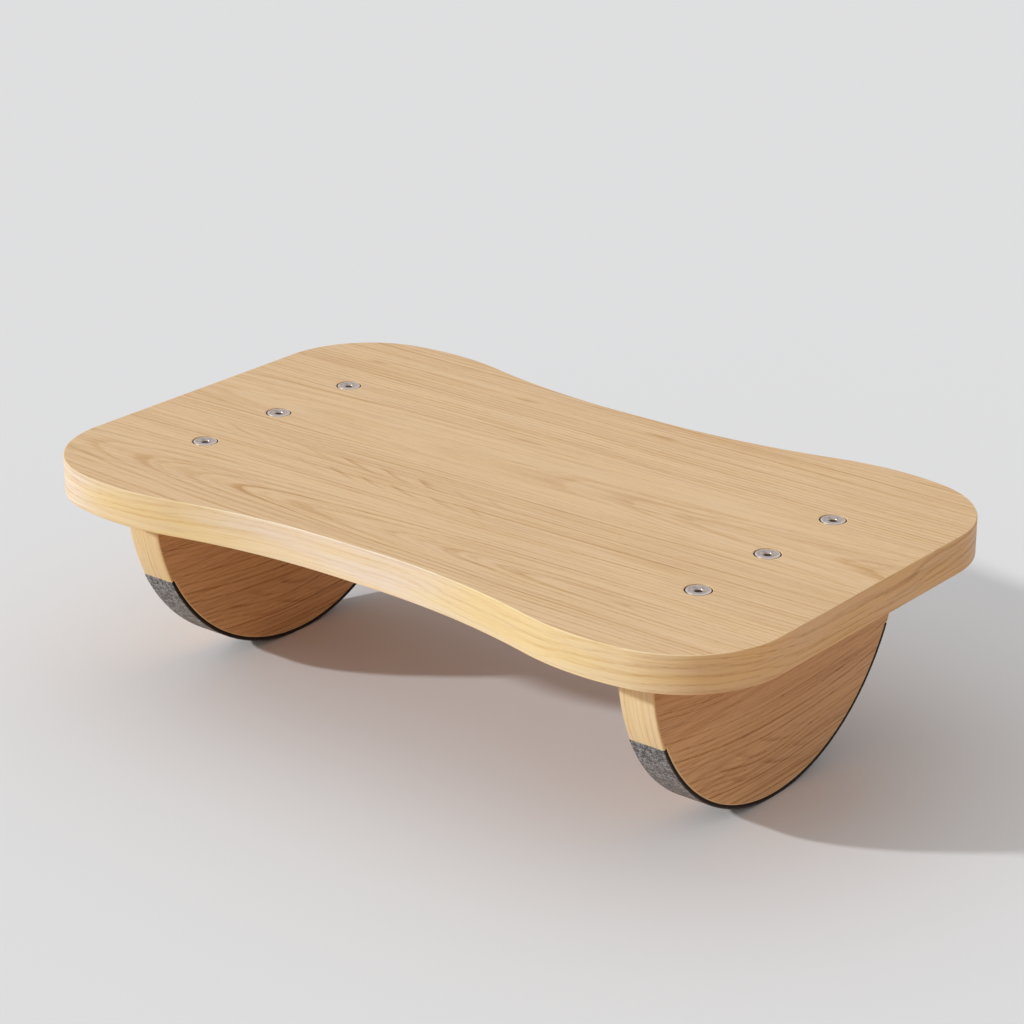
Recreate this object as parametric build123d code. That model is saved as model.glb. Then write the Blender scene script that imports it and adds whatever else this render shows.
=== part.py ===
from build123d import *
import os
from math import asin, atan2, cos, degrees, pi

# A rocking footstool: a waisted board bolted down onto two half-disc rockers that roll on felt treads.
# All sizes are millimetres. X runs along the board, Y across it from front to back, and Z is up.
# The origin is on the floor, under the middle of the board.

# Board
board_length = 450.0
board_width = 275.0        # across the shoulders, its widest place
board_waist = 240.0        # across the middle
board_thickness = 20.0
end_flat = 158.0           # straight stretch of each short end
waist_flat = 26.0          # straight stretch in the middle of each long side
corner_radius = 57.0
shoulder_radius = 145.0
edge_bevel = 0.5           # along the top and bottom edges

# Rockers
rocker_spacing = 326.0     # from the middle of one rocker to the middle of the other
rocker_thickness = 21.0
rolling_radius = 108.5     # outside of the felt, about the middle of the rocker's top edge
arris = 0.6                # bevel along the curved edges of the wood

# Treads, let into the curved edge of each rocker
tread_half_angle = 64.0    # degrees each way from straight down
tread_proud = 0.3          # how far the felt stands out of the wood
tread_flat = 0.1           # how far the felt is pressed flat along the line that it stands on
tread_side_gap = 0.3       # how far each side of the tread stays back from the rocker's face
felt_thickness = 0.7
backing_thickness = 1.3

# Fixings: M6 flat-head bolts, three to a rocker, into threaded inserts in the rocker's top edge
bolt_pitch = 58.0
bolt_diameter = 6.0
bolt_length = 35.0         # under the head
head_diameter = 12.8
head_height = 3.0
head_bevel = 0.4
head_recess = 0.1          # the head lies this far below the top of the board
socket_across_flats = 4.0
socket_depth = 1.9
insert_diameter = 10.0
insert_length = 15.0
insert_drive_flats = 6.6   # hexagon that the insert is screwed in by
insert_drive_depth = 4.0
insert_set_down = 0.5      # top of the insert below the rocker's top edge
seat_diameter = 14.0       # counterbore that takes the bolt head
bolt_clearance = 0.6       # on the diameter, through the board
tip_clearance = 3.0        # depth left free under the bolt's tip

# Levels and radii that follow
board_underside = rolling_radius - tread_flat
board_top = board_underside + board_thickness
head_seat = board_top - head_recess - head_height
wood_radius = rolling_radius - tread_proud
glue_radius = rolling_radius - felt_thickness
rebate_radius = glue_radius - backing_thickness
insert_top = board_underside - insert_set_down
bolt_bore = bolt_diameter + bolt_clearance

sides = {"left": -1, "right": 1}
rows = {"front": -1, "middle": 0, "back": 1}
down = 270.0               # direction of straight down in a rocker's plane, in degrees
upward = (Align.CENTER, Align.CENTER, Align.MIN)      # a round form standing on its level


def tangent_loop(start, heading, steps):
    """Face inside a closed loop of lines (turn 0) and arcs, each one tangent to the last."""
    edges = []
    for size, turn in steps:
        if turn:
            edge = JernArc(start, heading, size, turn)
        else:
            edge = Line(start, start + heading * size)
        edges.append(edge)
        start = edge @ 1
        heading = edge % 1
    return make_face(edges)


def board_outline():
    """Rounded oblong whose corners open into wide shoulders and whose long sides draw in to a waist."""
    corner_x = board_length / 2 - corner_radius
    shoulder_y = board_width / 2 - shoulder_radius
    offset = shoulder_radius - corner_radius
    corner_turn = asin((end_flat / 2 - shoulder_y) / offset)
    shoulder_x = corner_x - offset * cos(corner_turn)

    # The waist's arc touches the shoulder's arc from outside and the straight stretch at its end.
    across = shoulder_x - waist_flat / 2
    rise = board_waist / 2 - shoulder_y
    waist_radius = (across**2 + rise**2 - shoulder_radius**2) / (2 * (shoulder_radius - rise))
    waist_turn = atan2(across, rise + waist_radius)
    shoulder_turn = pi / 2 - corner_turn + waist_turn

    corner = (corner_radius, degrees(corner_turn))
    shoulder = (shoulder_radius, degrees(shoulder_turn))
    hollow = (waist_radius, -degrees(waist_turn))
    half = [(end_flat, 0), corner, shoulder, hollow, (waist_flat, 0), hollow, shoulder, corner]
    return tangent_loop(Vector(board_length / 2, -end_flat / 2), Vector(0, 1), half * 2)


def ring_sector(inner, outer):
    """Face between two arcs about the middle of a rocker's top edge, as wide as the tread reaches."""
    centre = (0, board_underside)
    first = down - tread_half_angle
    outer_arc = CenterArc(centre, outer, first, 2 * tread_half_angle)
    inner_arc = CenterArc(centre, inner, first, 2 * tread_half_angle)
    ends = [Line(inner_arc @ 0, outer_arc @ 0), Line(inner_arc @ 1, outer_arc @ 1)]
    return make_face([outer_arc, inner_arc] + ends)


def plate(face, thickness, x):
    """Solid from a face drawn in a rocker's plane, centred on x."""
    return Pos(x, 0, 0) * extrude(Plane.YZ * face, thickness / 2, both=True)


def rod(diameter, top, bottom):
    """Upright cylinder from one level down to another: a shank, or the cutter for a flat-bottomed hole."""
    return Pos(0, 0, bottom) * Cylinder(diameter / 2, top - bottom, align=upward)


def bolt_places(side):
    return {row: (sides[side] * rocker_spacing / 2, rows[row] * bolt_pitch) for row in rows}


def board():
    """Waisted board with six counterbored bolt holes."""
    solid = Pos(0, 0, board_underside) * extrude(board_outline(), board_thickness)
    rims = solid.faces().sort_by(Axis.Z)[0].edges() + solid.faces().sort_by(Axis.Z)[-1].edges()
    solid = chamfer(rims, edge_bevel)
    hole = rod(bolt_bore, board_top, board_underside) + rod(seat_diameter, board_top, head_seat)
    for side in sides:
        for x, y in bolt_places(side).values():
            solid -= Pos(x, y, 0) * hole
    return solid


def rocker(side):
    """Half disc on edge, with a rebate for the tread and three pockets for the inserts."""
    centre = (0, board_underside)
    rim = CenterArc(centre, wood_radius, 180, 180)
    profile = make_face([rim, Line(rim @ 0, rim @ 1)]) - ring_sector(rebate_radius, rolling_radius)
    x = sides[side] * rocker_spacing / 2
    solid = plate(profile, rocker_thickness, x)
    curved = solid.edges().filter_by(GeomType.CIRCLE)
    solid = chamfer(curved, arris)
    pocket_floor = head_seat - bolt_length - tip_clearance
    pocket = rod(insert_diameter, board_underside, pocket_floor)
    for place_x, place_y in bolt_places(side).values():
        solid -= Pos(place_x, place_y, 0) * pocket
    return solid


def tread(side, inner, outer):
    """One bonded layer of a rocker's tread."""
    return plate(ring_sector(inner, outer), rocker_thickness - 2 * tread_side_gap,
                 sides[side] * rocker_spacing / 2)


def bolt():
    """Flat-head bolt with a bevelled rim and a hexagon socket, seated at level zero."""
    head = Cylinder(head_diameter / 2, head_height, align=upward)
    head = chamfer(head.edges().sort_by(Axis.Z)[-1], head_bevel)
    shank = rod(bolt_diameter, 0, -bolt_length)
    socket = extrude(RegularPolygon(socket_across_flats / 2, 6, major_radius=False), -socket_depth)
    return head + shank - Pos(0, 0, head_height) * socket


def insert():
    """Insert with a hexagon drive at its mouth, its top at level zero."""
    body = rod(insert_diameter, 0, -insert_length)
    drive = extrude(RegularPolygon(insert_drive_flats / 2, 6, major_radius=False), -insert_drive_depth)
    return body - rod(bolt_diameter, 0, -insert_length) - drive


def footstool():
    """Every piece of the footstool in its place, by name."""
    pieces = {"board": board()}
    for side in sides:
        pieces[f"rocker_{side}"] = rocker(side)
        pieces[f"tread_backing_{side}"] = tread(side, rebate_radius, glue_radius)
        felt = tread(side, glue_radius, rolling_radius)
        pieces[f"tread_felt_{side}"] = split(felt, bisect_by=Plane.XY, keep=Keep.TOP)
        for row, (x, y) in bolt_places(side).items():
            pieces[f"bolt_{side}_{row}"] = Pos(x, y, head_seat) * bolt()
            pieces[f"insert_{side}_{row}"] = Pos(x, y, insert_top) * insert()
    return pieces


os.makedirs("parts", exist_ok=True)
for name, piece in footstool().items():
    export_step(piece, f"parts/{name}.step")
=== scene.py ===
"""A rocking footstool: a waisted wooden board bolted onto two half-disc rockers with felt treads.

The packed model gives every place and overall size. The pieces made here stand for its nodes, with
rounded edges, threads and fibres. Lengths are metres, and patterns are worked out in millimetres.
"""

import math
from collections import namedtuple

import bmesh
import bpy
from bpy.props import FloatProperty, FloatVectorProperty, PointerProperty
from mathutils import Matrix, Vector, noise


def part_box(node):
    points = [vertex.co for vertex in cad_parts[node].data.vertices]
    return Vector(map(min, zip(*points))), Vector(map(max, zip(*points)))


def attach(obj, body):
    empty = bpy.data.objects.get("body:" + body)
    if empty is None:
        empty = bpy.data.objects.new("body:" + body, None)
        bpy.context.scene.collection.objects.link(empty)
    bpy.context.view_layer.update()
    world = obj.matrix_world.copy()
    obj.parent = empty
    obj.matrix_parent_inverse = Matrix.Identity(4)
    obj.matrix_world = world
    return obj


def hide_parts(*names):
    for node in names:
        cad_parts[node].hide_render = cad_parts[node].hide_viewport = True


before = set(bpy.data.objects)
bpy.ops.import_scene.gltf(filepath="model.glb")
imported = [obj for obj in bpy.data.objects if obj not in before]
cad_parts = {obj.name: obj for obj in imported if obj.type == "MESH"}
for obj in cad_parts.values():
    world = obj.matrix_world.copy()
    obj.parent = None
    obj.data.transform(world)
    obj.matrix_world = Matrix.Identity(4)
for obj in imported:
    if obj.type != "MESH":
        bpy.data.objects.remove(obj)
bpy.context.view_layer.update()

bl_info = {
    "name": "Rocking Footstool",
    "version": (1, 0, 0),
    "blender": (4, 5, 0),
    "location": "View3D > Sidebar > Footstool",
    "description": "Dresses a rocking footstool: board, rockers, felt treads and fixings",
    "category": "Object",
}

SIDES = ("left", "right")
ROWS = ("front", "middle", "back")
PLACES = [f"{side}_{row}" for side in SIDES for row in ROWS]
MM = 0.001
PER_MM = 1000.0
UP = Vector((0, 0, 1))
WHITE = (1.0, 1.0, 1.0)
QUARTER = math.pi / 2  # a quarter turn

ARC_ERROR = 0.01 * MM  # how far a straight step may leave its arc
WELD = 0.002 * MM  # points nearer than this become one
ON_LEVEL = 0.0001 * MM  # a point this near to a cut is on it
FLAT = math.radians(35)  # faces that meet at less than this are shaded as one
SLOPING = (0.01, 0.999)  # upright part of a sloping face's normal
WIDE, NARROW, BORED = range(3)  # the wood's faces: flat sides, narrow edges and bored holes
RIM_WIDTHS = 3  # width of the band of faces inside a rounded edge, in roundings
SEAT_STEPS, POCKET_STEPS, BORE_STEPS = 64, 48, 32  # straight steps round each hole
HEXAGON_CUTS = 7  # points added along each side of a hexagon
THREAD_STEPS = 24  # straight steps in one turn of a thread
THREAD_SPARE = 3  # turns by which it is too long before its ends are cut
THREAD_START = 1.6  # turns of it below its bottom end
FELT_GRID, BACKING_GRID = 0.55 * MM, 1.3 * MM  # size of the treads' faces
SKIN = 0.2 * MM  # felt further than this from the glue has tufts
TUFTS = ((0.9, 0.6), (2.3, 0.5))  # how many tufts to a millimetre, and how strong
TUFT_MIDDLE = 0.35  # taken off, so that more of the felt sinks than rises
FLOOR_REACH = 40  # metres from the middle to each side


# Sizes and colours that a user may change

def length(name, description, default, lowest=0.0):
    """A length in metres."""
    return FloatProperty(name=name, description=description, default=default, min=lowest, unit="LENGTH",
                         precision=5)


def angle(name, description, degrees):
    """An angle given in degrees."""
    return FloatProperty(name=name, description=description, default=math.radians(degrees),
                         unit="ROTATION", subtype="ANGLE")


def colour(name, description, default):
    """A linear colour."""
    return FloatVectorProperty(name=name, description=description, default=default, min=0, max=1,
                               subtype="COLOR")


class BoardShape(bpy.types.PropertyGroup):
    end_flat: length("End flat", "Straight stretch of each short end", 0.158)
    waist: length("Waist", "Width of the board across its middle", 0.240)
    waist_flat: length("Waist flat", "Straight stretch of each long side", 0.026)
    corner_radius: length("Corner radius", "Radius of the four corners", 0.057)
    shoulder_radius: length("Shoulder radius", "Radius of the curves beside the corners", 0.145)
    edge_round: length("Edge round", "Rounding of the top and bottom edges", 0.0005)
    seat_diameter: length("Seat diameter", "Counterbore that takes a bolt head", 0.0140)
    seat_round: length("Seat round", "Rounding of the counterbore's mouth", 0.00045)
    hole_diameter: length("Hole diameter", "Bolt hole below the counterbore", 0.0066)


class RockerShape(bpy.types.PropertyGroup):
    arris: length("Arris", "Rounding of the curved edges of the wood", 0.0007)
    tread_half_angle: angle("Tread reach", "How far the tread goes each way from straight down", 64)
    rebate: length("Rebate", "Depth of the rebate that takes the tread", 0.0017)
    pocket_diameter: length("Pocket diameter", "Hole in the top edge that takes an insert", 0.010)
    pocket_floor: length("Pocket floor", "Height of the pocket's floor above the ground", 0.0868)


class TreadShape(bpy.types.PropertyGroup):
    proud: length("Proud", "How far the felt stands out of the wood", 0.0003)
    felt_thickness: length("Felt thickness", "Thickness of the felt", 0.0007)
    backing_thickness: length("Backing thickness", "Thickness of the layer under the felt", 0.0013)
    fibre_lift: length("Fibre lift", "How far the felt's surface rises and falls", 0.00012)


class FixingShape(bpy.types.PropertyGroup):
    head_rim: length("Head rim", "Rounding round the top of the bolt head", 0.00048)
    head_height: length("Head height", "Height of the bolt head", 0.003)
    dish_diameter: length("Dish diameter", "Shallow dish in the top of the head", 0.0092)
    dish_depth: length("Dish depth", "Depth of that dish", 0.0003)
    dish_round: length("Dish round", "Rounding of the dish's outer and inner edges", 0.00012)
    socket_flats: length("Socket flats", "Hexagon socket across its flats", 0.004)
    socket_depth: length("Socket depth", "Depth of the hexagon socket", 0.0019)
    socket_point: length("Socket point", "Depth of the drill point below it", 0.0004)
    lead_in: length("Lead-in", "Height of the steep ring that leads into the socket", 0.0006)
    lead_in_width: length("Lead-in width", "Width of that ring", 0.0002)
    thread_diameter: length("Thread diameter", "Outside of the bolt's thread", 0.006)
    thread_root: length("Thread root", "Bottom of the bolt's thread, across it", 0.0049)
    thread_pitch: length("Thread pitch", "Pitch of the bolt's thread", 0.001)
    insert_root: length("Insert root", "Bottom of the insert's thread, across it", 0.0086)
    insert_pitch: length("Insert pitch", "Pitch of the insert's thread", 0.0025)
    drive_flats: length("Drive flats", "Hexagon that the insert is screwed in by", 0.0066)
    drive_depth: length("Drive depth", "Depth of that hexagon", 0.004)


class Finishes(bpy.types.PropertyGroup):
    timber: colour("Timber", "Pale wood of the board's face", (0.715, 0.500, 0.282))
    timber_line: colour("Timber line", "Dark lines there", (0.50, 0.272, 0.096))
    # The edge and cream tones are paler than the face's timber partly as painted light from the key on the
    # front faces. The end tones are end grain, made darker and warmer partly as painted shade.
    edge: colour("Edge", "Pale wood on the long edges of the board", (0.81, 0.695, 0.425))
    cream: colour("Cream", "Palest wood of those edges", (0.84, 0.760, 0.610))
    edge_line: colour("Edge line", "Dark lines there", (0.60, 0.405, 0.175))
    end: colour("End", "Pale wood round the ends of the board", (0.80, 0.605, 0.350))
    end_line: colour("End line", "Dark lines there", (0.48, 0.295, 0.125))
    # The flank tones are the rockers' wood with painted shade in them: darker and warmer than the rim, for
    # sides that face away from the key light.
    flank: colour("Flank", "Pale wood on the sides of the rockers", (0.785, 0.562, 0.328))
    flank_line: colour("Flank line", "Dark lines there", (0.38, 0.175, 0.062))
    # The rim tone is paler than the face's timber partly as painted light from the key on the rockers'
    # front faces.
    rim: colour("Rim", "Pale wood on the curved faces of the rockers", (0.905, 0.810, 0.530))
    # The rubbed tone is partly wear and partly a painted highlight along the rounded edges.
    rubbed: colour("Rubbed", "Wood where hands and feet have rubbed an edge", (0.88, 0.73, 0.50))
    # The bored tone is partly soaked-in oil and partly painted shade inside the holes.
    bored: colour("Bored", "Wood inside the drilled holes", (0.13, 0.070, 0.030))
    felt: colour("Felt", "Middle tone of the felt", (0.162, 0.192, 0.222))
    backing: colour("Backing", "Cushioning layer under the felt", (0.014, 0.010, 0.009))
    steel: colour("Steel", "Satin steel of the bolts", (0.69, 0.585, 0.530))
    # A painted highlight: a paler ring round the top of each head's rim.
    rim_highlight: colour("Rim highlight", "Bright steel round the rim of each head", (0.93, 0.86, 0.81))
    # This colour is painted shade on the lower part of each head's rounded rim, where it goes down into the
    # gap.
    gap_shade: colour("Gap shade", "Dirt in the gap round each head", (0.085, 0.055, 0.035))
    zinc: colour("Zinc", "Cast zinc of the inserts", (0.50, 0.50, 0.48))


class StageSettings(bpy.types.PropertyGroup):
    azimuth: angle("Azimuth", "Camera's bearing, from looking along +Y towards looking along -X", 38.881)
    elevation: angle("Elevation", "Camera's height above the horizon", 21.597)
    distance: length("Distance", "From the camera to its target", 1.57298)
    target_x: length("Target X", "Where the camera looks on the board's top", 0.03082)
    target_y: length("Target Y", "Where the camera looks on the board's top", -0.03556, lowest=-1.0)
    lens: FloatProperty(name="Lens", description="Focal length in millimetres", default=109.19, min=1,
                        unit="CAMERA")
    key_bearing: angle("Key bearing", "Where the key light comes from, from -Y towards +X", -45)
    key_elevation: angle("Key elevation", "Height of the key light above the horizon", 25.2)
    key_spread: angle("Key spread", "Width of the key light as the object sees it", 2.6)
    key_power: FloatProperty(name="Key power", description="Strength of the key light", default=2.06,
                             min=0)
    surround: colour("Surround", "Pale grey all round, as the camera sees it", (0.72, 0.716, 0.72))
    side_glow: colour("Side glow", "Tint of the soft light low on the right", (1.0, 0.56, 0.29))
    floor: colour("Floor", "Colour of the floor as it is seen", (0.736, 0.745, 0.757))
    bounce: colour("Floor bounce", "Light that the floor gives back", (0.57, 0.35, 0.22))


GROUPS = {
    "footstool_board": BoardShape,
    "footstool_rocker": RockerShape,
    "footstool_tread": TreadShape,
    "footstool_fixing": FixingShape,
    "footstool_finish": Finishes,
    "footstool_stage": StageSettings,
}


# Node networks

def math_node(operation):
    """A method that adds a Math node."""
    return lambda self, *others: self.network.math(operation, self, *others)


class Value:
    """A socket in a node network, with arithmetic that adds Math nodes."""

    def __init__(self, network, socket):
        self.network = network
        self.socket = socket

    __add__ = __radd__ = math_node("ADD")
    __sub__ = math_node("SUBTRACT")
    __mul__ = math_node("MULTIPLY")
    __truediv__ = math_node("DIVIDE")
    whole = math_node("FLOOR")
    part = math_node("FRACT")
    size = math_node("ABSOLUTE")
    most = math_node("MAXIMUM")
    above = math_node("GREATER_THAN")

    def __rsub__(self, other):
        return self.network.math("SUBTRACT", other, self)

    def __neg__(self):
        return self * -1.0

    def diagonal(self, other):
        """Length of the diagonal across a rectangle with these two sides."""
        return self.network.math("SQRT", self * self + other * other)

    def rise(self, low, high):
        """0 below low and 1 above high, turning smoothly between them."""
        sockets = {"Value": self, "From Min": low, "From Max": high}
        return self.network.node("MapRange", {"interpolation_type": "SMOOTHSTEP"}, sockets)

    def band(self, start, full, fade, end):
        """1 from full to fade, turning smoothly to 0 at start and at end."""
        return self.rise(start, full) * (1 - self.rise(fade, end))


class Network:
    """Builds the nodes of a material or of the world."""

    def __init__(self, owner):
        owner.use_nodes = True
        self.tree = owner.node_tree
        self.tree.nodes.clear()

    def node(self, kind, settings=None, sockets=None, result=0):
        """Adds a node with its settings and sockets, and gives one of its results."""
        made = self.tree.nodes.new("ShaderNode" + kind)
        for key, value in (settings or {}).items():
            setattr(made, key, value)
        for key, value in (sockets or {}).items():
            if isinstance(value, Value):
                self.tree.links.new(value.socket, made.inputs[key])
            else:
                made.inputs[key].default_value = value
        return Value(self, made.outputs[result])

    def end(self, kind, shader):
        """Adds the output node and feeds it a shader."""
        output = self.tree.nodes.new("ShaderNode" + kind)
        self.tree.links.new(shader.socket, output.inputs["Surface"])

    def math(self, operation, *values):
        return self.node("Math", {"operation": operation}, dict(enumerate(values)))

    def mix(self, factor, first, second, blend="MIX"):
        """Blends two colours."""
        tone = [value if isinstance(value, Value) else (*value, 1.0) for value in (first, second)]
        settings = {"data_type": "RGBA", "blend_type": blend}
        return self.node("Mix", settings, {0: factor, 6: tone[0], 7: tone[1]}, result=2)

    def overlaid(self, base, *layers):
        """Lays colours over a base one after another, each by its own share."""
        for share, tone in layers:
            base = self.mix(share, base, tone)
        return base

    def vector(self, x, y, z):
        return self.node("CombineXYZ", None, {0: x, 1: y, 2: z})

    def noise(self, place, scale=1.0, detail=2.0, roughness=0.5):
        """Smooth noise between 0 and 1."""
        sockets = {"Vector": place, "Scale": scale, "Detail": detail, "Roughness": roughness}
        return self.node("TexNoise", {"normalize": True}, sockets)

    def chance(self, value):
        """A fixed random number between 0 and 1 for each whole value."""
        return self.node("TexWhiteNoise", {"noise_dimensions": "1D"}, {"W": value})

    def axes(self, vector):
        """X, Y and Z of a vector."""
        return [self.node("SeparateXYZ", None, {0: vector}, result=axis) for axis in range(3)]

    def place(self):
        """X, Y and Z of the shaded point on its piece, in millimetres."""
        return [value * PER_MM for value in self.axes(self.node("TexCoord", result=3))]

    def attribute(self, name, result):
        """What the mesh keeps under a name: result 1 is a vector, and 2 is a number."""
        return self.node("Attribute", {"attribute_name": name}, result=result)

    def looked_at(self):
        """1 where the camera sees it, also in a mirror or through glass, and 0 where it lights."""
        seen, mirrored, through = (self.node("LightPath", result=ray) for ray in (0, 3, 6))
        return seen.most(mirrored).most(through)


class Finish(Network):
    """A surface material that ends in one Principled shader."""

    def __init__(self, name, constants):
        self.material = bpy.data.materials.new(name)
        super().__init__(self.material)
        self.constants = constants
        self.tone = bpy.context.scene.footstool_finish

    def surface(self, base, roughness, relief, depth):
        """Feeds the shader a colour, a roughness and a relief whose full height is depth, in metres."""
        bump = self.node("Bump", None, {"Height": relief, "Distance": depth, "Strength": 1.0})
        sockets = {"Base Color": base, "Roughness": roughness, "Normal": bump, **self.constants}
        self.end("OutputMaterial", self.node("BsdfPrincipled", None, sockets))
        return self.material


def toned(tone, factor):
    """A colour times a factor."""
    return tuple(min(1.0, channel * factor) for channel in tone)


# Wood. Its places, reaches and pitches are in millimetres.

Stave = namedtuple("Stave", "edge heart cover dip")
Stave.__doc__ = """A plank of a glued-up face: where it starts across the grain, where its log's heart
lies, how deep that is in the middle, and how much deeper for each millimetre along the grain."""

BOARD_STAVES = (
    Stave(-140.0, -95.0, 13.0, -0.070),
    Stave(-72.0, -190.0, 60.0, -0.060),
    Stave(-8.0, 14.0, 47.0, -0.030),
    Stave(46.0, 190.0, 40.0, -0.050),
)
STAVE_SHIFT = 37.3  # keeps one stave's rings from matching the next one's
HEART_WANDER = 3.0  # how far a heart strays up and down
RING = 3.1  # from one ring to the next
FAINT_RINGS = 2.4  # faint lines to each ring

# How much lines, pores, fibres, bands and streaks darken the wood, roughen it and sink into it
DARKEN = (1.35, 1.0, 1.4, 1.5, 2.5)
ROUGHEN = (0.10, 0.25, 0.16)
SINK = (0.35, 0.60, -0.35)
LEAST_DARK = 0.10
WORN_ROUGHNESS, WEAR_AND_HIGHLIGHT_TINT = 0.14, 0.08  # what rubbing adds to an edge: roughness, and a paler tint that is partly wear and partly a painted highlight on the rounding
DRIFT = ((1.02, 0.985, 0.86), (1.0, 1.0, 1.05))  # what yellow and cream patches multiply a colour by

STROKE_DROP = 9.0  # how far a short stroke comes down across the grain
STROKE_PITCH = 24.0  # from one short stroke to the next
STROKE_LEAN = 1.8  # how far it leans at its start, for each millimetre it drops
FACE_ROWS = (-28.0, -43.0)  # where the two rows of strokes in the board's face start
FACE_STROKED = (-195.0, -160.0, 5.0, 30.0)  # where along the board they set in and die out
SECOND_ROW = (-120.0, -90.0)  # where the second of them sets in
FACE_MARKS = (  # short dark marks: where each is and how far it reaches each way
    ((-68.0, 101.0), (13.0, 2.6)),
    ((25.0, 101.0), (17.0, 3.0)),
    ((-28.0, 50.0), (18.0, 2.0)),
    ((-176.0, 99.0), (11.0, 2.4)),
    ((84.0, 9.0), (15.0, 1.8)),
)
RIGHT_END, LEFT_END = (160.0, 226.0), (190.0, 226.0)  # where the board's edge turns darker and warmer: end grain, and painted shade where the end faces away from the key light
LEFT_END_SHADE_SHARE = 0.25  # how much of that tone the left end takes; the right end's fuller share is painted shade, since the left end is lit
CREAM_MIDDLE = -10.0  # where the edge is palest
CREAM_REACH = (30.0, 105.0)  # and how that fades on either side
CREAM_LEFT = (150.0, 190.0)  # a second pale stretch
EDGE_BOLDER = (90.0, 200.0)  # where its lines get bolder towards the ends
FLANK_EYE = ((-10.0, 27.0), (48.0, 13.0))  # middle and reach of a figure in each rocker's side
FLANK_CURL = 0.0011  # how fast the grain turns up towards the ends of a rocker
FLANK_ROWS = (38.0, 26.0)  # where its rows of strokes start
FLANK_MIDDLE, FLANK_STROKED = -12.0, (30.0, 48.0)  # their middle, and where they die out from it
HOLE_SHADE_DEPTH = (1.3, 0.4)  # a hole turns from dark to plain timber between these depths; the dark is partly soaked-in oil and partly painted shade


def heart_distance(along, across, wander):
    """How far the shaded point is from the heart of its own stave's log."""
    total = 0.0
    for number, stave in enumerate(BOARD_STAVES):
        cover = along * stave.dip + stave.cover + wander * HEART_WANDER
        distance = (across - stave.heart).diagonal(cover) + STAVE_SHIFT * number
        share = across.above(stave.edge)
        if number + 1 < len(BOARD_STAVES):
            share = share - across.above(BOARD_STAVES[number + 1].edge)
        total = distance * share + total
    return total


def weighed(values, weights):
    """The sum of values, each times its weight, as far as there are weights."""
    return sum(value * weight for value, weight in zip(values, weights))


def hill(x, y, middle, reach):
    """1 in the middle of a long round patch, falling smoothly to 0 at its reach."""
    across = (x - middle[0]) / reach[0]
    up = (y - middle[1]) / reach[1]
    return 1 - across.diagonal(up).rise(0.0, 1.0)


def strokes(wood, along, across, start):
    """A row of short dark strokes that begin across the grain, below a level, and turn to lie along it."""
    down = (start - across) / STROKE_DROP
    bend = (down * down * down + down * STROKE_LEAN) * STROKE_DROP
    turn = (along - bend) / STROKE_PITCH + wood.strayed(slow=2.0, ripple=0.4)
    line = turn.part().band(0.0, 0.06, 0.08, 0.45)
    strength = wood.chance(turn.whole() + start).rise(-0.3, 0.9)
    return line * strength * down.band(0.0, 0.5, 0.7, 1.4)


def rings(net, turn, end):
    """Darkness of the year rings: each starts sharply and fades to its end, and some are stronger."""
    strength = net.chance(turn.whole())
    return turn.part().band(0.0, 0.12, 0.15, end) * (strength * strength * 0.8 + 0.2)


class Timber(Finish):
    """Sawn and oiled wood, with its pattern drawn out along the axes that are lengthwise."""

    def __init__(self, name, lengthwise):
        super().__init__(name, {"Specular IOR Level": 0.38})
        self.lengthwise = lengthwise
        self.point = self.place()
        self.slow = self.swaying(150, 45, detail=1.0)
        self.ripple = self.swaying(38, 9)

    def drawn_out(self, long, wide, detail=2.0, roughness=0.5):
        """Noise whose patches are this long and wide, in millimetres."""
        steps = [value / (long if along else wide) for value, along in zip(self.point, self.lengthwise)]
        return self.noise(self.vector(*steps), detail=detail, roughness=roughness)

    def swaying(self, long, wide, **kind):
        """The same noise, but about 0."""
        return self.drawn_out(long, wide, **kind) - 0.5

    def strayed(self, slow, ripple):
        """How far the grain strays here, for the weights of its long waves and its short ones."""
        return self.slow * slow + self.ripple * ripple

    def oiled(self, distance, pale, dark, contrast, extra=0.0, fine=0.5, tint=0.35):
        """Finishes the wood from each point's distance to the heart of its log. extra is more darkness,
        fine weighs the closer lines, and tint weighs the slow drift from yellow to cream."""
        patch = self.drawn_out(70, 14, detail=1.0).rise(0.30, 0.65)
        line = rings(self, distance / RING, 0.55) * (patch * 0.6 + 0.4)
        faint = rings(self, distance / RING * FAINT_RINGS + 0.4, 0.70) * (1.3 - patch)
        band = self.swaying(400, 17, roughness=0.6)
        streak = self.swaying(80, 1.3, roughness=0.6)
        fibre = self.swaying(11, 0.5, roughness=0.7)
        pore = self.drawn_out(4.5, 0.35, detail=1.0).rise(0.58, 0.70)
        pores = pore * (line * 1.4 + faint * 0.5 + 0.15)
        marks = (line, pores, fibre, band, streak)
        shade = weighed(marks, DARKEN) + faint * fine + extra
        base = self.mix((shade * contrast + LEAST_DARK).most(0.0), pale, dark)
        drift = self.mix(self.drawn_out(75, 9).rise(0.3, 0.7), *DRIFT)
        base = self.mix(tint, base, drift, blend="MULTIPLY")
        wear = self.attribute("wear", 2)
        # Paler rounded edges: partly wear, partly a painted highlight.
        rubbed = wear * self.drawn_out(16, 6, detail=3.0).rise(0.42, 0.60)
        base = self.mix(rubbed * WEAR_AND_HIGHLIGHT_TINT, base, self.tone.rubbed)
        roughness = weighed(marks, ROUGHEN) + wear * WORN_ROUGHNESS + 0.44
        return self.surface(base, roughness, 1.0 - weighed(marks, SINK), 0.05 * MM)


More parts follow.
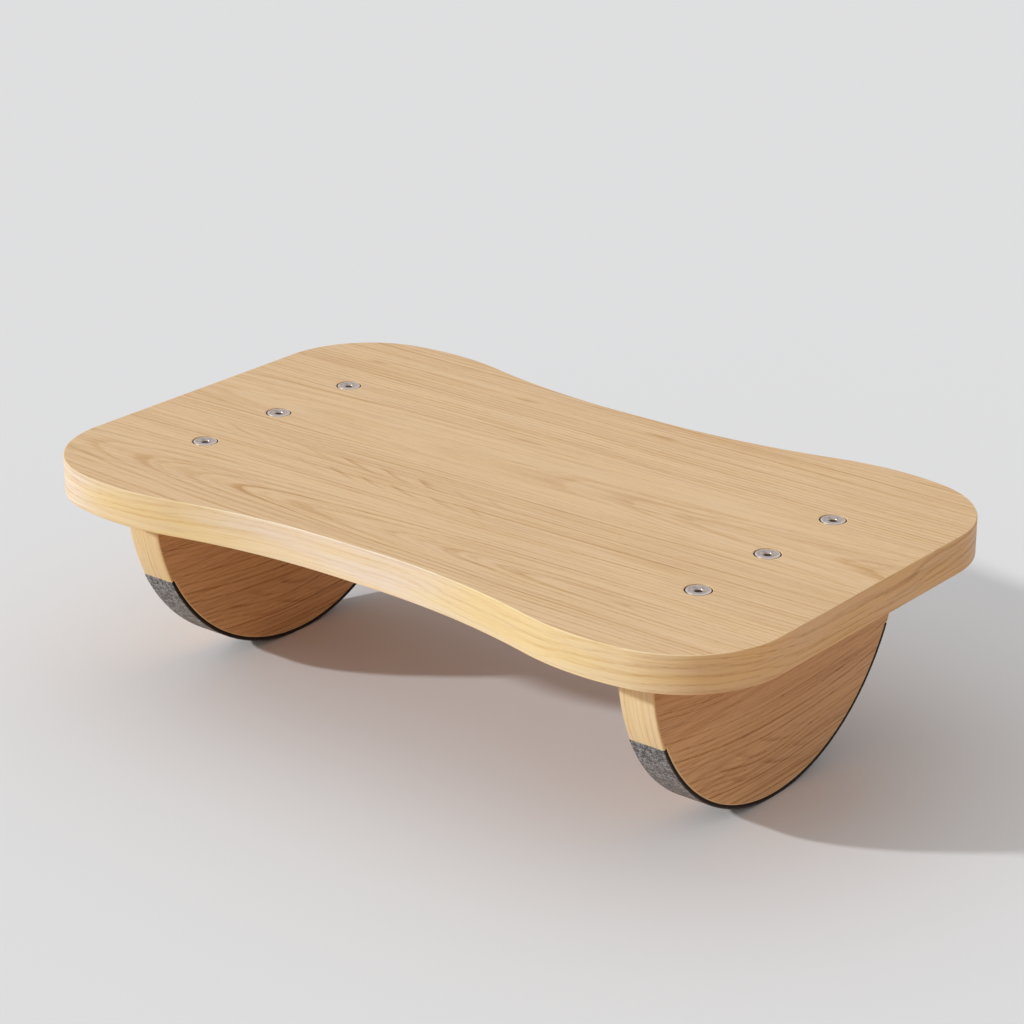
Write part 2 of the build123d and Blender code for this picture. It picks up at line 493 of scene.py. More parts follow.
def board_face():
    """The board's top and underside, with the leaning flecks and short marks that its sawing left."""
    wood = Timber("Board face", (True, False, False))
    x, y, _ = wood.point
    distance = heart_distance(x, y, wood.slow) + wood.strayed(slow=3.6, ripple=0.9)
    first, second = (strokes(wood, x, y, start) for start in FACE_ROWS)
    dark = (first + second * x.rise(*SECOND_ROW)) * x.band(*FACE_STROKED)
    for middle, reach in FACE_MARKS:
        dark = hill(x, y + wood.ripple * 5.0, middle, reach) + dark
    return wood.oiled(distance, wood.tone.timber, wood.tone.timber_line, 0.56, dark * 1.1, fine=0.8)


def board_edge():
    """The board's narrow faces: palest along its sides, and warmer round to the ends."""
    wood = Timber("Board edge", (True, True, False))
    x, _, z = wood.point
    end = x.rise(*RIGHT_END) + (-x).rise(*LEFT_END) * LEFT_END_SHADE_SHARE
    cream = 1 - (x - CREAM_MIDDLE).size().rise(*CREAM_REACH) + (-x).rise(*CREAM_LEFT)
    pale = wood.mix(end, wood.mix(cream, wood.tone.edge, wood.tone.cream), wood.tone.end)
    dark = wood.mix(end, wood.tone.edge_line, wood.tone.end_line)
    contrast = x.size().rise(*EDGE_BOLDER) * 0.22 + 0.33
    return wood.oiled(z * 0.8 + wood.strayed(slow=22.0, ripple=4.0), pale, dark, contrast, tint=1.0)


def rocker_flank_and_shade():
    """The flat sides of the rockers, with close level grain that turns up towards both ends."""
    wood = Timber("Rocker flank", (False, True, False))
    _, y, z = wood.point
    eye = hill(y, z, *FLANK_EYE)
    distance = z * 1.1 - y * y * FLANK_CURL + eye * 4.0 + wood.strayed(slow=3.6, ripple=0.8)
    upper, lower = (strokes(wood, y, z, start) for start in FLANK_ROWS)
    dark = (upper + lower) * (1 - (y - FLANK_MIDDLE).size().rise(*FLANK_STROKED))
    return wood.oiled(distance, wood.tone.flank, wood.tone.flank_line, 0.50, dark * 0.8, fine=1.3)


def bored_wood():
    """The inside of drilled holes: clean at the mouth, and dark with soaked-in oil below."""
    wood = Timber("Bored wood", (True, False, False))
    _, y, z = wood.point
    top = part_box("board")[1].z * PER_MM
    clean = z.rise(*(top - depth for depth in HOLE_SHADE_DEPTH))
    pale = wood.mix(clean, wood.tone.bored, wood.tone.timber)
    dark = wood.mix(clean, toned(wood.tone.bored, 0.4), wood.tone.timber_line)
    return wood.oiled(y + wood.slow * 8.0, pale, dark, 0.5)


def rocker_rim():
    """The curved faces of the rockers, with the grain running round them."""
    wood = Timber("Rocker rim", (False, True, True))
    distance = wood.point[0] + wood.strayed(slow=14.0, ripple=1.5)
    return wood.oiled(distance, wood.tone.rim, wood.tone.edge_line, 0.36, fine=0.9, tint=0.6)


# Felt, backing and metal. Places on a bolt head are in millimetres, from its axis or below its top.

SIDE_SHADE_INSET = (0.3, 0.05)  # how far inside a strip's side its painted shade starts and is full
# Radii where the inside of the dish and a thin ring at its edge are darkened: painted shade.
DISH, DISH_EDGE_SHADE = (4.3, 4.7), (4.25, 4.5, 4.6, 4.9)
# Radii where the top of the rim gets its painted highlight, and radii and depths where the lower rim gets
# painted shade
RIM_HIGHLIGHT, GAP_SHADE_RADII, GAP_SHADE_DEPTH = (5.3, 6.1), (5.9, 6.1), (0.10, 0.24)
# Radii and depths where the socket is darkened: painted shade in the hole.
SOCKET, SOCKET_DEPTH = (2.5, 2.7), (0.45, 1.3)


def felt_finish():
    """Pressed wool felt in mixed greys, with loose fibres lying every way."""
    net = Finish("Grey felt", {"Specular IOR Level": 0.15, "Sheen Weight": 0.25, "Sheen Roughness": 0.5})
    x, y, z = net.place()
    spot = net.vector(x, y, z)
    clump = net.noise(spot, scale=0.45, roughness=0.6)
    fleck = net.noise(spot, scale=1.1, roughness=0.7)
    ways = [((x + y * 0.6) / 0.22, (y - x * 0.6) / 2.4, z / 0.6),
            ((x - y * 0.8) / 2.0, (y + x * 0.8) / 0.24, z / 0.5),
            (x / 0.5, (y + z) / 0.2, (y - z) / 2.2)]
    strands = [net.noise(net.vector(*way), detail=1.0) for way in ways]
    pale = strands[0].rise(0.60, 0.70).most(strands[1].rise(0.61, 0.71))
    dark = strands[2].rise(0.58, 0.68)
    mottle = (clump - 0.5) * 3.0 + (fleck - 0.5) * 3.6 + 0.46
    low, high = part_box("tread_felt_right")
    half_width = (high.x - low.x) / 2 * PER_MM
    aside = (x.size() - (high.x + low.x) / 2 * PER_MM).size()
    # The strip's narrow sides turn to the backing's black: painted shade.
    cut = aside.rise(*(half_width - inside for inside in SIDE_SHADE_INSET))
    felt = net.tone.felt
    base = net.overlaid(
        net.mix(mottle.rise(0.0, 1.0), toned(felt, 0.22), toned(felt, 2.3)),
        (pale * 0.60, toned(felt, 3.0)),
        (dark * 0.65, toned(felt, 0.20)),
        (cut * 0.92, net.tone.backing))
    relief = mottle * 0.6 + pale * 0.5 - dark * 0.4 + strands[0] * 0.5
    return net.surface(base, 0.92 - pale * 0.08, relief, 0.16 * MM)


def backing_finish():
    """Black cellular rubber: fine open pores and a dusty bloom."""
    net = Finish("Black cushioning", {"Specular IOR Level": 0.25})
    spot = net.vector(*net.place())
    cells = net.node("TexVoronoi", {"feature": "F1"}, {"Vector": spot, "Scale": 3.2})
    bloom = net.noise(spot, scale=0.35, detail=3.0)
    pit = 1 - cells.rise(0.10, 0.42)
    backing = net.tone.backing
    base = net.mix(bloom.rise(0.35, 0.75), backing, toned(backing, 2.2))
    base = net.mix(pit * 0.7, base, toned(backing, 0.3))
    return net.surface(base, bloom * 0.15 + 0.72, 1 - pit, 0.05 * MM)


def steel_finish():
    """Satin steel with the fine rings that turning leaves, and a few scuffs."""
    net = Finish("Satin steel", {"Metallic": 1.0})
    x, y, z = (value * PER_MM for value in net.axes(net.attribute("about_axis", 1)))
    radius = x.diagonal(y)
    turning = net.noise(net.vector(radius * 9.0, z * 9.0, 0.0))
    smear = net.noise(net.vector(x, y, z), scale=0.45, detail=3.0)
    scuff = net.noise(net.vector((x + y) * 0.5, (x - y) * 6.0, z), detail=1.0).rise(0.66, 0.74)
    # The dish and a ring at its edge are darkened: painted shade in the hollow.
    dish = 1 - radius.rise(*DISH)
    # Painted shade on the lower rim, where it goes down into the gap round the head.
    gap_shade = (-z).rise(*GAP_SHADE_DEPTH) * radius.rise(*GAP_SHADE_RADII)
    # Darker deep in the socket: painted shade.
    socket = (-z).rise(*SOCKET_DEPTH) * (1 - radius.rise(*SOCKET))
    steel = net.tone.steel
    base = net.overlaid(
        net.mix(smear.rise(0.35, 0.65), toned(steel, 1.08), toned(steel, 0.66)),
        (turning.rise(0.3, 0.8) * 0.35, toned(steel, 1.2)),
        (dish * 0.22 + radius.band(*DISH_EDGE_SHADE) * 0.35, toned(steel, 0.30)),
        # Painted highlight round the top of the rim.
        (radius.rise(*RIM_HIGHLIGHT) * 0.75, net.tone.rim_highlight),
        (gap_shade * 0.88, net.tone.gap_shade),
        (socket * 0.55, toned(steel, 0.25)))
    roughness = turning * 0.12 + smear * 0.10 + scuff * 0.10 + 0.24
    return net.surface(base, roughness, turning * 0.7 + scuff * 0.3, 0.008 * MM)


def zinc_finish():
    """Dull cast zinc with a fine-grained skin."""
    net = Finish("Cast zinc", {"Metallic": 1.0})
    spot = net.vector(*net.place())
    grain = net.noise(spot, scale=3.0, detail=3.0)
    stain = net.noise(spot, scale=0.3, detail=3.0)
    base = net.mix(stain.rise(0.3, 0.7), net.tone.zinc, toned(net.tone.zinc, 0.65))
    return net.surface(base, grain * 0.2 + 0.42, grain, 0.03 * MM)


# Mesh helpers

def arc_steps(radius, turn):
    """How many straight steps keep an arc within its error."""
    return max(2, math.ceil(abs(turn) / (2 * math.acos(1 - ARC_ERROR / radius))))


def walk(bm, start, heading, steps):
    """Draws lines (size, 0), arcs (radius, turn) and bare turns (0, turn) on from a start point."""
    point = bm.verts.new(start)
    for size, turn in steps:
        ahead = Vector((math.cos(heading), math.sin(heading), 0))
        if size and turn:
            centre = point.co + UP.cross(ahead) * math.copysign(size, turn)
            made = bmesh.ops.spin(bm, geom=[point], cent=centre, axis=UP, angle=turn,
                                  steps=arc_steps(size, turn), use_duplicate=False)
            point = made["geom_last"][0]
        elif size:
            point = bmesh.ops.extrude_vert_indiv(bm, verts=[point])["verts"][0]
            point.co += ahead * size
        heading += turn
    weld(bm)


def loop_of(items, kind=bmesh.types.BMEdge):
    """The edges, or other elements of a kind, in what an operator returned."""
    return [item for item in items if isinstance(item, kind)]


def faces_beside(edges):
    return {face for edge in edges for face in edge.link_faces}


def paint(faces, kind):
    for face in faces:
        face.material_index = kind


def weld(bm):
    bmesh.ops.remove_doubles(bm, verts=bm.verts[:], dist=WELD)


def face_outward(bm):
    bmesh.ops.recalc_face_normals(bm, faces=bm.faces[:])


def on_axis(node, level):
    """The point at a level on the upright line through a node's middle."""
    low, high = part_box(node)
    return Vector(((low.x + high.x) / 2, (low.y + high.y) / 2, level))


def carry(bm, edges, rise=0.0, scale=1.0, centre=(0, 0, 0)):
    """Extrudes a level loop of edges, lifts the new loop, scales it about an upright axis, and gives it."""
    made = bmesh.ops.extrude_edge_only(bm, edges=edges)["geom"]
    verts = loop_of(made, bmesh.types.BMVert)
    bmesh.ops.translate(bm, verts=verts, vec=UP * rise)
    if scale != 1.0:
        about = Matrix.Translation(-Vector(centre))
        bmesh.ops.scale(bm, verts=verts, vec=(scale, scale, 1), space=about)
    inside = set(verts)
    return [edge for edge in loop_of(made) if all(vert in inside for vert in edge.verts)]


def ring(bm, radius, centre, segments):
    """A circle of edges on a level."""
    verts = bmesh.ops.create_circle(bm, segments=segments, radius=radius,
                                    matrix=Matrix.Translation(centre))["verts"]
    return list(dict.fromkeys(edge for vert in verts for edge in vert.link_edges))


def rimmed(bm, outline, width):
    """Adds a narrow band of faces inside an outline, and gives the loop on the band's inner side."""
    face = bmesh.ops.contextual_create(bm, geom=outline)["faces"][0]
    face.material_index = WIDE
    bmesh.ops.inset_region(bm, faces=[face], thickness=width, use_boundary=True, use_even_offset=True)
    inner = face.edges[:]
    bmesh.ops.delete(bm, geom=[face], context="FACES_ONLY")
    return inner


def sheet_with_holes(bm, loops, normal):
    """Fills the area between an outer loop and the loops inside it."""
    edges = [edge for loop in loops for edge in loop]
    made = bmesh.ops.triangle_fill(bm, use_beauty=True, edges=edges, normal=normal)
    return loop_of(made["geom"], bmesh.types.BMFace)


def soften(bm, edges, offset, segments):
    """Rounds edges and gives the new faces."""
    made = bmesh.ops.bevel(bm, geom=edges, offset=offset, offset_type="OFFSET", segments=segments,
                           profile=0.5, affect="EDGES", clamp_overlap=False, material=-1)
    return made["faces"]


def soften_and_wear(bm, edges, offset, segments):
    """Rounds edges of wood, and marks them as narrow and as rubbed by hands and feet."""
    made = soften(bm, edges, offset, segments)
    wear = bm.verts.layers.float.new("wear")
    bm.normal_update()
    for face in made:
        if SLOPING[0] < abs(face.normal.z) < SLOPING[1]:
            face.material_index = NARROW
            for vert in face.verts:
                vert[wear] = 1.0


def threaded(bm, centre, bottom, crest, root, pitch):
    """A screw thread from a centre down to a level. Gives its top and bottom loops."""
    root_flat = pitch / 4
    crest_flat = pitch / 8
    rise = (pitch - root_flat - crest_flat) / 2
    flank = math.hypot(crest - root, rise)
    lean = math.atan2(crest - root, rise)
    walk(bm, (root, 0, 0), QUARTER, [
        (root_flat, 0), (0, -lean), (flank, 0), (0, lean), (crest_flat, 0), (0, lean), (flank, 0)])
    bmesh.ops.transform(bm, verts=bm.verts[:], matrix=Matrix.Rotation(QUARTER, 4, "X"))
    bmesh.ops.spin(bm, geom=bm.verts[:] + bm.edges[:], cent=(0, 0, 0), axis=UP, angle=2 * math.pi,
                   steps=THREAD_STEPS, dvec=(0, 0, pitch / THREAD_STEPS), use_duplicate=False)
    one_turn = bm.verts[:] + bm.edges[:] + bm.faces[:]
    for number in range(1, math.ceil((centre.z - bottom) / pitch) + THREAD_SPARE):
        more = bmesh.ops.duplicate(bm, geom=one_turn)["geom"]
        bmesh.ops.translate(bm, verts=loop_of(more, bmesh.types.BMVert), vec=UP * pitch * number)
    weld(bm)
    lowest = Vector((centre.x, centre.y, bottom - THREAD_START * pitch))
    bmesh.ops.translate(bm, verts=bm.verts[:], vec=lowest)
    loops = []
    for level, outward in ((centre.z, UP), (bottom, -UP)):
        cut = bmesh.ops.bisect_plane(bm, geom=bm.verts[:] + bm.edges[:] + bm.faces[:], dist=ON_LEVEL,
                                     plane_co=(0, 0, level), plane_no=outward, clear_outer=True)
        loops.append(loop_of(cut["geom_cut"]))
    return loops


def mesh_of(name, bm, materials):
    mesh = bpy.data.meshes.new(name)
    bm.to_mesh(mesh)
    bm.free()
    for material in materials:
        mesh.materials.append(material)
    return mesh


def place_object(name, data):
    made = bpy.data.objects.new(name, data)
    bpy.context.scene.collection.objects.link(made)
    return made


def finish_piece(name, bm, materials, node):
    """Turns a bmesh into a piece that stands for its CAD node."""
    weld(bm)
    face_outward(bm)
    mesh = mesh_of(name, bm, materials)
    mesh.shade_smooth()
    mesh.set_sharp_from_angle(angle=FLAT)
    piece = place_object(name, mesh)
    piece.modifiers.new("Keep flats flat", "WEIGHTED_NORMAL").keep_sharp = True
    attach(piece, "root")
    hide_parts(node)
    return piece


# Board

def board_steps(shape, board_length, board_width):
    """Lines and arcs of half the board's outline, each one tangent to the last, from an end's flat on."""
    corner, shoulder = shape.corner_radius, shape.shoulder_radius
    shoulder_y = board_width / 2 - shoulder
    offset = shoulder - corner
    corner_turn = math.asin((shape.end_flat / 2 - shoulder_y) / offset)
    shoulder_x = board_length / 2 - corner - offset * math.cos(corner_turn)
    across = shoulder_x - shape.waist_flat / 2
    rise = shape.waist / 2 - shoulder_y
    waist_radius = (across**2 + rise**2 - shoulder**2) / (2 * (shoulder - rise))
    waist_turn = math.atan2(across, rise + waist_radius)
    bends = [(corner, corner_turn), (shoulder, QUARTER - corner_turn + waist_turn),
             (waist_radius, -waist_turn)]
    return [(shape.end_flat, 0), *bends, (shape.waist_flat, 0), *reversed(bends)]


def board_mesh(shape):
    low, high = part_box("board")
    rim = RIM_WIDTHS * shape.edge_round
    bm = bmesh.new()
    start = (high.x, -shape.end_flat / 2, high.z)
    walk(bm, start, QUARTER, board_steps(shape, high.x - low.x, high.y - low.y) * 2)
    top_rim = bm.edges[:]
    bottom_rim = top_rim
    for drop in (rim, high.z - low.z - 2 * rim, rim):
        bottom_rim = carry(bm, bottom_rim, -drop)
    paint(bm.faces, NARROW)
    top_loops = [rimmed(bm, top_rim, rim)]
    bottom_loops = [rimmed(bm, bottom_rim, rim)]

    # Each seat and hole, from the top down
    seat_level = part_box("bolt_left_front")[1].z - bpy.context.scene.footstool_fixing.head_height
    seat_radius = shape.seat_diameter / 2
    mouths = []
    for place in PLACES:
        centre = on_axis(f"bolt_{place}", high.z)
        around = ring(bm, seat_radius + rim, centre, SEAT_STEPS)
        mouth = carry(bm, around, scale=seat_radius / (seat_radius + rim), centre=centre)
        floor = carry(bm, mouth, seat_level - high.z)
        hole = carry(bm, floor, scale=shape.hole_diameter / shape.seat_diameter, centre=centre)
        top_loops.append(around)
        bottom_loops.append(carry(bm, hole, low.z - seat_level))
        mouths += mouth
        paint(faces_beside(floor + hole), BORED)
    sheet_with_holes(bm, top_loops, UP)
    sheet_with_holes(bm, bottom_loops, -UP)
    face_outward(bm)
    soften_and_wear(bm, top_rim + bottom_rim, shape.edge_round, segments=5)
    soften(bm, mouths, shape.seat_round, segments=3)
    return bm


class FOOTSTOOL_OT_board(bpy.types.Operator):
    """Makes the waisted board with its rounded edges and six counterbored bolt holes"""
    bl_idname = "footstool.board"
    bl_label = "Board"

    def execute(self, context):
        materials = [board_face(), board_edge(), bored_wood()]
        bm = board_mesh(context.scene.footstool_board)
        finish_piece("waisted_board", bm, materials, "board")
        return {"FINISHED"}


# Rockers

def rocker_mesh(shape, side):
    """Half disc with its rebate, drawn on the ground, thickened, stood up and pocketed."""
    low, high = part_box(f"rocker_{side}")
    wood_radius = high.y
    reach = shape.tread_half_angle
    end_turn = QUARTER - reach
    rim = RIM_WIDTHS * shape.arris
    bm = bmesh.new()
    walk(bm, (-wood_radius, 0, 0), -QUARTER, [
        (wood_radius, end_turn), (0, QUARTER), (shape.rebate, 0), (0, -QUARTER),
        (wood_radius - shape.rebate, 2 * reach), (0, -QUARTER), (shape.rebate, 0), (0, QUARTER),
        (wood_radius, end_turn), (0, QUARTER), (2 * wood_radius, 0)])
    first = bm.edges[:]
    last = first
    for step in (rim, high.x - low.x - 2 * rim, rim):
        last = carry(bm, last, step)
    paint(bm.faces, NARROW)
    for outline, facing in ((first, -UP), (last, UP)):
        sheet_with_holes(bm, [rimmed(bm, outline, rim)], facing)
    face_outward(bm)
    curved = [edge for edge in first + last if min(vert.co.y for vert in edge.verts) < -10 * WELD]
    soften_and_wear(bm, curved, shape.arris, segments=3)
    upright = Matrix(((0, 0, 1), (1, 0, 0), (0, 1, 0))).to_4x4()
    upright.translation = (low.x, 0, high.z)
    bmesh.ops.transform(bm, matrix=upright, verts=bm.verts[:])
    sink_pockets(bm, shape, side, high.z)
    return bm


def sink_pockets(bm, shape, side, top):
    """Opens a rocker's top edge over its three pockets and gives each its wall and floor."""
    bm.normal_update()
    lid = max((face for face in bm.faces if face.normal.z > SLOPING[1]), key=lambda face: face.calc_area())
    outline = lid.edges[:]
    bmesh.ops.delete(bm, geom=[lid], context="FACES_ONLY")
    mouths = [ring(bm, shape.pocket_diameter / 2, on_axis(f"insert_{side}_{row}", top), POCKET_STEPS)
              for row in ROWS]
    paint(sheet_with_holes(bm, [outline] + mouths, UP), NARROW)
    for mouth in mouths:
        floor = carry(bm, mouth, shape.pocket_floor - top)
        bmesh.ops.contextual_create(bm, geom=floor)
        paint(faces_beside(floor), BORED)


class FOOTSTOOL_OT_rockers(bpy.types.Operator):
    """Makes the two half-disc rockers with their rebates for the treads"""
    bl_idname = "footstool.rockers"
    bl_label = "Rockers"

    def execute(self, context):
        materials = [rocker_flank_and_shade(), rocker_rim(), bored_wood()]
        for side in SIDES:
            bm = rocker_mesh(context.scene.footstool_rocker, side)
            finish_piece(f"half_disc_{side}", bm, materials, f"rocker_{side}")
        return {"FINISHED"}


# Treads

def strip_mesh(node, centre_height, inner, outer, reach, grid):
    """Curved strip between two radii: a small section, spun round the rocker's middle."""
    low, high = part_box(node)
    width = high.x - low.x
    across = max(2, round(width / grid))
    along = round(2 * reach * outer / grid)
    layers = max(1, round((outer - inner) / grid))
    bm = bmesh.new()
    place = Matrix.Rotation(-reach, 4, "X") @ Matrix.Translation(on_axis(node, -(inner + outer) / 2))
    section = Matrix.Rotation(QUARTER, 4, "X") @ Matrix.Diagonal((width, outer - inner, 1, 1))
    bmesh.ops.create_grid(bm, x_segments=across, y_segments=layers, size=0.5, matrix=place @ section)
    bmesh.ops.spin(bm, geom=bm.faces[:], cent=(0, 0, 0), axis=(1, 0, 0), angle=2 * reach, steps=along,
                   use_duplicate=False)
    bmesh.ops.translate(bm, verts=bm.verts[:], vec=(0, 0, centre_height))
    return bm


def roughen(bm, glue_radius, centre_height, lift):
    """Raises and lowers the outside of the felt in tufts, and presses it flat on the floor."""
    bm.normal_update()
    for vert in bm.verts:
        radius = math.hypot(vert.co.y, vert.co.z - centre_height)
        if radius - glue_radius > SKIN:
            tuft = sum(noise.noise(vert.co * PER_MM * close) * strong for close, strong in TUFTS)
            vert.co += vert.normal * (tuft - TUFT_MIDDLE) * lift
        vert.co.z = max(vert.co.z, 0.0)


class FOOTSTOOL_OT_treads(bpy.types.Operator):
    """Makes the felt strips that roll on the floor and the cushioning layer under each"""
    bl_idname = "footstool.treads"
    bl_label = "Treads"

    def execute(self, context):
        tread = context.scene.footstool_tread
        reach = context.scene.footstool_rocker.tread_half_angle
        felt = felt_finish()
        backing = backing_finish()
        for side in SIDES:
            rocker_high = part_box(f"rocker_{side}")[1]
            middle = rocker_high.z
            rolling = rocker_high.y + tread.proud
            glue = rolling - tread.felt_thickness
            node = f"tread_felt_{side}"
            bm = strip_mesh(node, middle, glue, rolling, reach, FELT_GRID)
            roughen(bm, glue, middle, tread.fibre_lift)
            finish_piece(f"felt_strip_{side}", bm, [felt], node)
            node = f"tread_backing_{side}"
            bm = strip_mesh(node, middle, glue - tread.backing_thickness, glue, reach, BACKING_GRID)
            finish_piece(f"cushion_strip_{side}", bm, [backing], node)
        return {"FINISHED"}


# Fixings

def hexagon_ring(bm, corner_radius, centre):
    """A hexagon on a level, each side in short steps."""
    before = set(bm.edges)
    sides = ring(bm, corner_radius, centre, 6)
    bmesh.ops.subdivide_edges(bm, edges=sides, cuts=HEXAGON_CUTS, use_grid_fill=False)
    return [edge for edge in bm.edges if edge not in before]


def bolt_mesh(shape, node):
    """Flat-head bolt: its thread, and its head from the socket out over the dish to the rim."""
    low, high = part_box(node)
    centre = on_axis(node, high.z)
    head_radius = (high.x - low.x) / 2
    dish_radius = shape.dish_diameter / 2
    corner_radius = shape.socket_flats / math.sqrt(3)
    mouth_radius = corner_radius + shape.lead_in_width
    socket_level = shape.dish_depth + shape.lead_in
    bm = bmesh.new()
    neck, tip = threaded(bm, centre - UP * shape.head_height, low.z, shape.thread_diameter / 2,
                         shape.thread_root / 2, shape.thread_pitch)
    bmesh.ops.contextual_create(bm, geom=tip)
    hexagon = hexagon_ring(bm, corner_radius, centre - UP * socket_level)
    mouth = ring(bm, mouth_radius, centre - UP * shape.dish_depth, len(hexagon))
    bmesh.ops.bridge_loops(bm, edges=hexagon + mouth)
    bottom = carry(bm, hexagon, socket_level - shape.socket_depth)
    point = carry(bm, bottom, -shape.socket_point, scale=0.05, centre=centre)
    bmesh.ops.contextual_create(bm, geom=point)
    dish = carry(bm, mouth, shape.dish_depth, scale=dish_radius / mouth_radius, centre=centre)
    rim = carry(bm, dish, scale=head_radius / dish_radius, centre=centre)
    under = carry(bm, rim, -shape.head_height)
    sheet_with_holes(bm, [under, neck], -UP)
    face_outward(bm)
    soften(bm, rim, shape.head_rim, segments=6)
    soften(bm, mouth + dish, shape.dish_round, segments=2)
    return bm


def keep_about_axis(piece, centre):
    """Keeps each point's place about the bolt's axis on the mesh."""
    kept = piece.data.attributes.new("about_axis", "FLOAT_VECTOR", "POINT")
    places = [value for vert in piece.data.vertices for value in vert.co - centre]
    kept.data.foreach_set("vector", places)


class FOOTSTOOL_OT_bolts(bpy.types.Operator):
    """Makes the six flat-head bolts"""
    bl_idname = "footstool.bolts"
    bl_label = "Bolts"

    def execute(self, context):
        steel = steel_finish()
        for place in PLACES:
            node = f"bolt_{place}"
            bm = bolt_mesh(context.scene.footstool_fixing, node)
            piece = finish_piece(f"flat_head_{place}", bm, [steel], node)
            keep_about_axis(piece, on_axis(node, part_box(node)[1].z))
        return {"FINISHED"}


def insert_mesh(shape, node):
    """Threaded insert: coarse thread outside, hexagon drive at the mouth, and the bolt's bore below it."""
    low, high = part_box(node)
    centre = on_axis(node, high.z)
    bm = bmesh.new()
    top, bottom = threaded(bm, centre, low.z, (high.x - low.x) / 2, shape.insert_root / 2,
                           shape.insert_pitch)
    mouth = hexagon_ring(bm, shape.drive_flats / math.sqrt(3), centre)
    sheet_with_holes(bm, [top, mouth], UP)
    step = carry(bm, mouth, -shape.drive_depth)
    bore = ring(bm, shape.thread_diameter / 2, centre - UP * shape.drive_depth, BORE_STEPS)
    sheet_with_holes(bm, [step, bore], UP)
    end = carry(bm, bore, low.z - high.z + shape.drive_depth)
    sheet_with_holes(bm, [bottom, end], -UP)
    return bm


class FOOTSTOOL_OT_inserts(bpy.types.Operator):
    """Makes the six threaded inserts"""
    bl_idname = "footstool.inserts"
    bl_label = "Inserts"

    def execute(self, context):
        zinc = zinc_finish()
        for place in PLACES:
            node = f"insert_{place}"
            bm = insert_mesh(context.scene.footstool_fixing, node)
            finish_piece(f"threaded_insert_{place}", bm, [zinc], node)
        return {"FINISHED"}


# Stage

SOFT_LIGHT = 0.62  # strength of the soft light, level and all round
SOFT_RIGHT, SOFT_BACK, SOFT_UP = -0.17, -0.05, 0.15  # and how it grows that way
GLOW_RIGHT, GLOW_TOP = (0.0, 0.5), (0.10, 0.50)  # where the glow sets in, and ends above


def look_from(thing, bearing, elevation):
    """Turns a lamp or a camera to look from a bearing and a height, and gives the direction behind it."""
    flat = math.cos(elevation)
    back = Vector((math.sin(bearing) * flat, -math.cos(bearing) * flat, math.sin(elevation)))
    thing.rotation_euler = back.to_track_quat("Z", "Y").to_euler()
    return back


def make_floor(settings):
    """A wide pale floor that gives back warm light."""
    bm = bmesh.new()
    bmesh.ops.create_grid(bm, x_segments=1, y_segments=1, size=FLOOR_REACH)
    material = bpy.data.materials.new("Pale floor")
    net = Network(material)
    tone = net.mix(net.looked_at(), settings.bounce, settings.floor)
    net.end("OutputMaterial", net.node("BsdfDiffuse", None, {"Color": tone}))
    place_object("floor", mesh_of("floor", bm, [material]))


def make_light(settings):
    """A soft key light, and a pale surround with a warm glow low on the right."""
    lamp = bpy.data.lights.new("key", "SUN")
    lamp.energy = settings.key_power
    lamp.angle = settings.key_spread
    look_from(place_object("key", lamp), settings.key_bearing, settings.key_elevation)
    world = bpy.data.worlds.new("surround")
    net = Network(world)
    right, back, up = net.axes(net.node("TexCoord", result=0))
    light = up * SOFT_UP + right * SOFT_RIGHT + back * SOFT_BACK + SOFT_LIGHT
    low_right = right.rise(*GLOW_RIGHT) * (1 - up.rise(*GLOW_TOP))
    seen = net.looked_at()
    tone = net.mix(seen, net.mix(low_right, WHITE, settings.side_glow), settings.surround)
    sockets = {"Color": tone, "Strength": seen * (1 - light) + light}
    net.end("OutputWorld", net.node("Background", None, sockets))
    bpy.context.scene.world = world


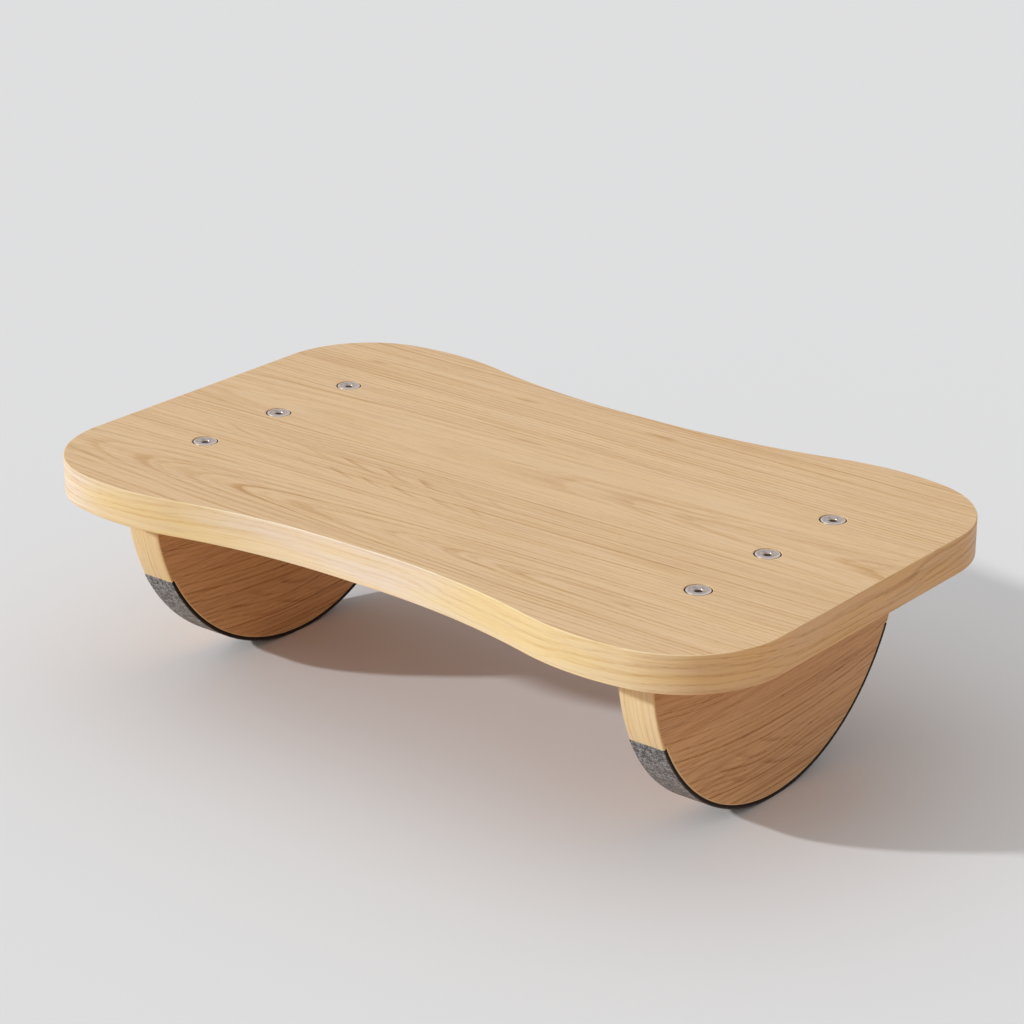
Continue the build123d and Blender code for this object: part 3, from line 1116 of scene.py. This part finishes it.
def make_camera(settings):
    """The photograph's view, looking at a point on the board's top."""
    camera = place_object("camera", bpy.data.cameras.new("camera"))
    camera.data.lens = settings.lens
    target = Vector((settings.target_x, settings.target_y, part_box("board")[1].z))
    back = look_from(camera, settings.azimuth, settings.elevation)
    camera.location = target + back * settings.distance
    bpy.context.scene.camera = camera


class FOOTSTOOL_OT_stage(bpy.types.Operator):
    """Makes the pale floor, the soft light and the camera"""
    bl_idname = "footstool.stage"
    bl_label = "Stage"

    def execute(self, context):
        settings = context.scene.footstool_stage
        make_floor(settings)
        make_light(settings)
        make_camera(settings)
        context.scene.view_settings.view_transform = "Standard"
        return {"FINISHED"}


OPERATORS = (
    FOOTSTOOL_OT_board,
    FOOTSTOOL_OT_rockers,
    FOOTSTOOL_OT_treads,
    FOOTSTOOL_OT_bolts,
    FOOTSTOOL_OT_inserts,
    FOOTSTOOL_OT_stage,
)


class FOOTSTOOL_PT_panel(bpy.types.Panel):
    """Lists the footstool's pieces and their sizes"""
    bl_idname = "FOOTSTOOL_PT_panel"
    bl_label = "Rocking Footstool"
    bl_space_type = "VIEW_3D"
    bl_region_type = "UI"
    bl_category = "Footstool"

    def draw(self, context):
        for operator in OPERATORS:
            self.layout.operator(operator.bl_idname)
        for name, group in GROUPS.items():
            box = self.layout.box()
            for key in group.__annotations__:
                box.prop(getattr(context.scene, name), key)


def register():
    for group in (*GROUPS.values(), *OPERATORS, FOOTSTOOL_PT_panel):
        bpy.utils.register_class(group)
    for name, group in GROUPS.items():
        setattr(bpy.types.Scene, name, PointerProperty(type=group))


def unregister():
    for name in GROUPS:
        delattr(bpy.types.Scene, name)
    for group in (FOOTSTOOL_PT_panel, *reversed(OPERATORS), *GROUPS.values()):
        bpy.utils.unregister_class(group)


def main():
    register()
    bpy.ops.footstool.board()
    bpy.ops.footstool.rockers()
    bpy.ops.footstool.treads()
    bpy.ops.footstool.bolts()
    bpy.ops.footstool.inserts()
    bpy.ops.footstool.stage()


if __name__ == "__main__":
    main()
